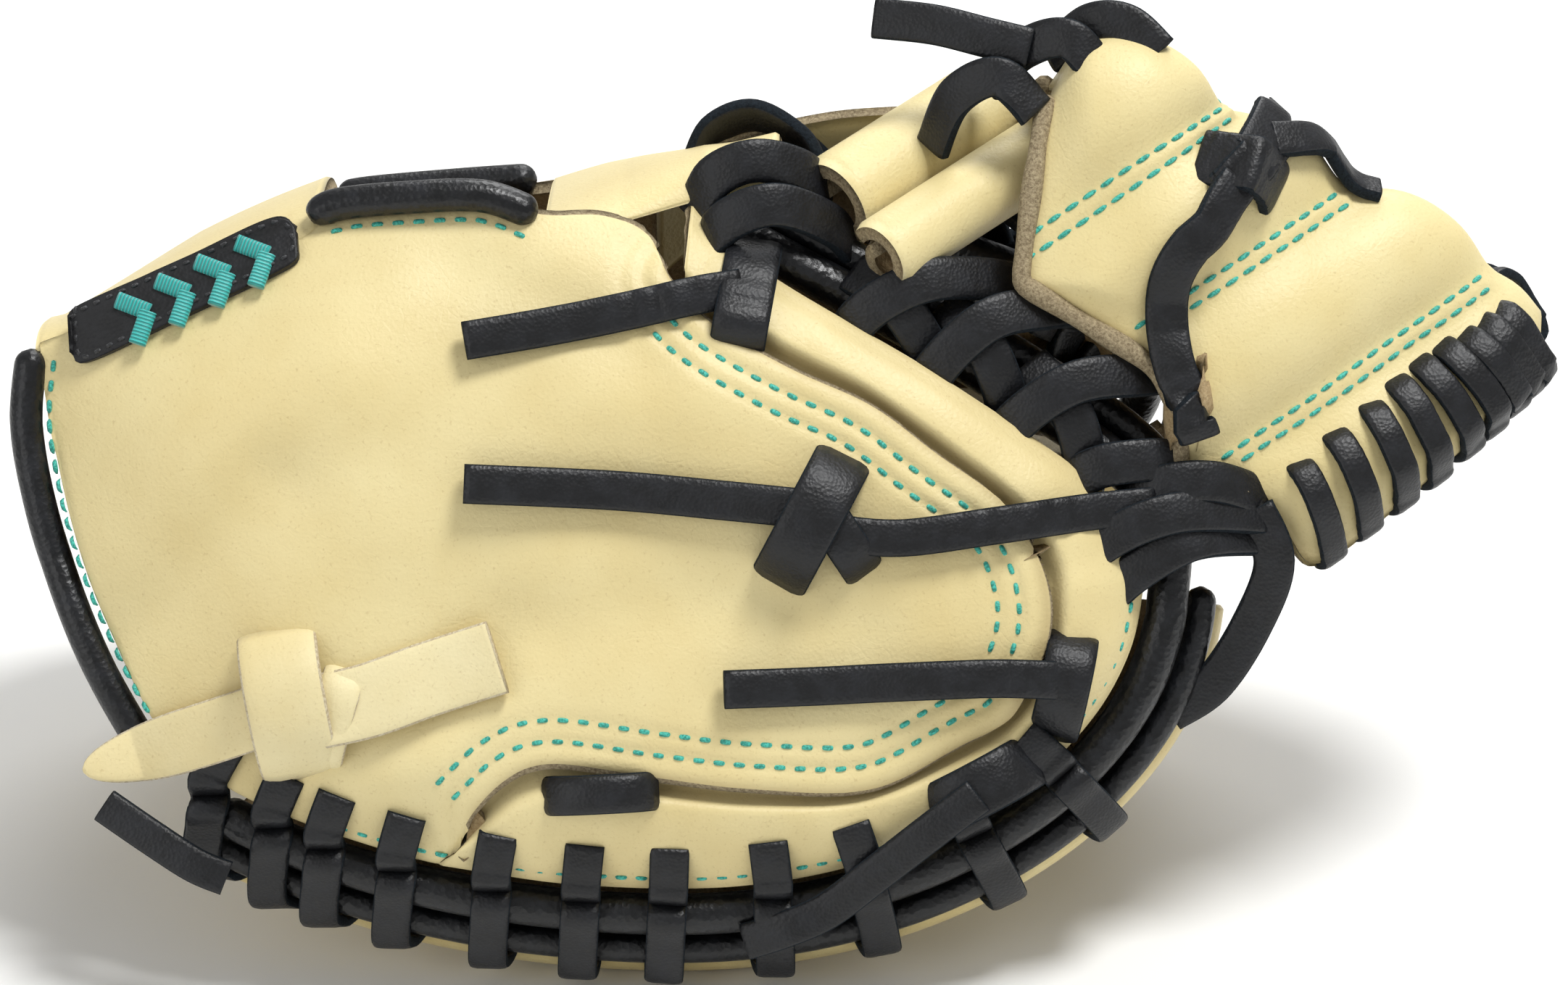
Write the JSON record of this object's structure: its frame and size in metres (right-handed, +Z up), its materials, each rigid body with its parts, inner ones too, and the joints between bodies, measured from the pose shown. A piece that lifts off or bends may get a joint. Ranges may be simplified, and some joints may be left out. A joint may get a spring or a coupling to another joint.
{
  "type": "baseball catcher's mitt",
  "caption": "Padded leather catcher's mitt, half open and standing on its rims, with laced welts, webbed pocket, thumb strap and badge.",
  "frame": {"origin": "centre of the footprint on the surface that the two rims stand on", "axes": "+X from the wrist to the web, +Z up towards the back of the hand, the thumb half on the -Y side"},
  "size_m": [0.2918, 0.1629, 0.1627],
  "materials": {
    "back_leather": "smooth with fine grain",
    "black_badge_leather": "fine grained",
    "black_binding": "glossy grained",
    "black_lace": "waxed rawhide",
    "black_welt": "glossy grained",
    "lining_leather": "suede",
    "palm_leather": "smooth, oiled",
    "strap_leather": "smooth with raw edges",
    "teal_embroidery": "satin thread",
    "web_leather": "smooth with raw edges",
    "wool_felt": "matte"
  },
  "bodies": {
    "finger_half": {"crotch_panel": "back_leather", "finger_back_welt": "black_welt", "finger_opening_binding": "black_binding", "finger_outer_panel": "back_leather", "finger_pad": "wool_felt", "finger_palm_welt": "black_welt", "finger_rim_lace": "black_lace", "finger_rim_panel": "back_leather", "finger_stall": "lining_leather", "finger_web_lace": "black_lace", "finger_wrist_binding": "black_binding", "palm_lining": "lining_leather", "palm_shell": "palm_leather", "web_back": "web_leather", "web_base_roll": "web_leather", "web_curl_roll": "web_leather", "web_edge_lace": "black_lace", "web_front": "web_leather", "web_knot_lace": "black_lace", "wrist_strap": "back_leather"},
    "thumb_half": {"badge_motif": "teal_embroidery", "badge_patch": "black_badge_leather", "lace_bar_stitch": "black_lace", "middle_lace": "black_lace", "rim_lace_tail": "black_lace", "thumb_adjust_strap": "strap_leather", "thumb_back_welt": "black_welt", "thumb_opening_binding": "black_binding", "thumb_outer_panel": "back_leather", "thumb_pad": "wool_felt", "thumb_palm_welt": "black_welt", "thumb_rim_lace": "black_lace", "thumb_rim_panel": "back_leather", "thumb_stall": "lining_leather", "thumb_web_lace": "black_lace", "thumb_wrist_binding": "black_binding", "tip_lace_tail": "black_lace", "upper_lace_tail": "black_lace"}
  },
  "joints": [
    {"name": "mitt_fold", "type": "hinge", "parent": "finger_half", "child": "thumb_half", "pos_m": [0, 0, 0.123], "axis": [1, 0, 0], "range_deg": [-25, 25], "stiffness_Nm_per_rad": 6, "deforming": ["palm_shell", "palm_lining", "wrist_strap", "crotch_panel", "web_back", "web_front", "web_edge_lace", "web_knot_lace", "web_curl_roll"]}
  ]
}
